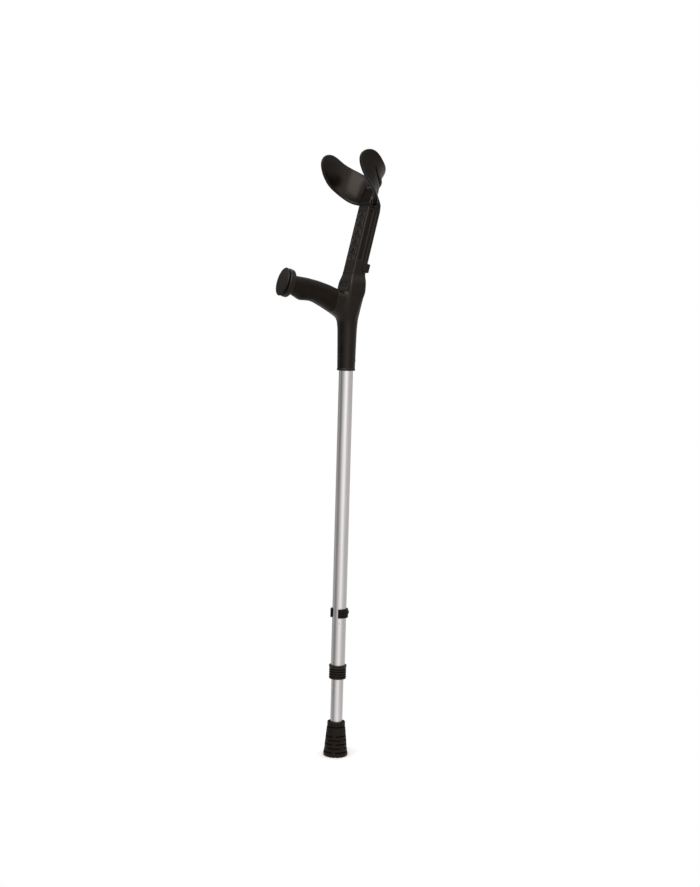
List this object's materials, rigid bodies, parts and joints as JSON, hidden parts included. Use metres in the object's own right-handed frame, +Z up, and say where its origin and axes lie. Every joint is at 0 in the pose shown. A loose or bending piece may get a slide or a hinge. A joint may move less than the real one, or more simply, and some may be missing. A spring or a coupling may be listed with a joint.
{
  "type": "forearm crutch",
  "caption": "Forearm crutch with an open swept-up cuff, a moulded hand grip, a telescopic tubular shaft with a clip lock and a ribbed rubber ferrule.",
  "frame": {"origin": "centre of the ferrule's tread, on the floor", "axes": "+Z up the shaft, -Y towards the hand grip and the cuff's opening, X across; X = 0 is the plane of symmetry"},
  "size_m": [0.1113, 0.1763, 0.9455],
  "materials": {
    "black_plastic": "satin moulded, fine grain",
    "grip_plastic": "soft-touch, fine grain",
    "anodised_tube": "satin anodised",
    "ferrule_rubber": "matte moulded",
    "clip_plastic": "satin moulded, knurled",
    "badge_plastic": "satin",
    "guide_plastic": "satin",
    "pin_steel": "turned"
  },
  "bodies": {
    "frame": {"handle_body": "black_plastic", "grip_cover": "grip_plastic", "grip_end_cap": "black_plastic", "badge": "badge_plastic", "outer_tube": "anodised_tube", "sleeve_rivets": "pin_steel", "collar_bush": "guide_plastic"},
    "lower_leg": {"inner_tube": "anodised_tube", "tube_guide": "guide_plastic", "ferrule": "ferrule_rubber", "ferrule_washer": "pin_steel"},
    "height_clip": {"height_clip": "clip_plastic", "height_clip_pin": "pin_steel"},
    "collar": {"anti_rattle_collar": "clip_plastic"},
    "cuff": {"cuff": "black_plastic"},
    "cuff_clip": {"cuff_clip": "clip_plastic", "cuff_clip_pin": "pin_steel"}
  },
  "joints": [
    {"name": "height_slide", "type": "slide", "parent": "frame", "child": "lower_leg", "axis": [0, 0, -1], "range_m": [0, 0.24]},
    {"name": "height_clip_pull", "type": "slide", "parent": "frame", "child": "height_clip", "axis": [0, 1, 0], "range_m": [0, 0.012], "deforming": ["height_clip"]},
    {"name": "collar_slide", "type": "slide", "parent": "frame", "child": "collar", "axis": [0, 0, -1], "range_m": [0, 0.014]},
    {"name": "cuff_slide", "type": "slide", "parent": "frame", "child": "cuff", "axis": [0, 0.2504, 0.9681], "range_m": [0, 0.048]},
    {"name": "cuff_clip_pull", "type": "slide", "parent": "frame", "child": "cuff_clip", "axis": [0, 0.9681, -0.2504], "range_m": [0, 0.015]}
  ]
}
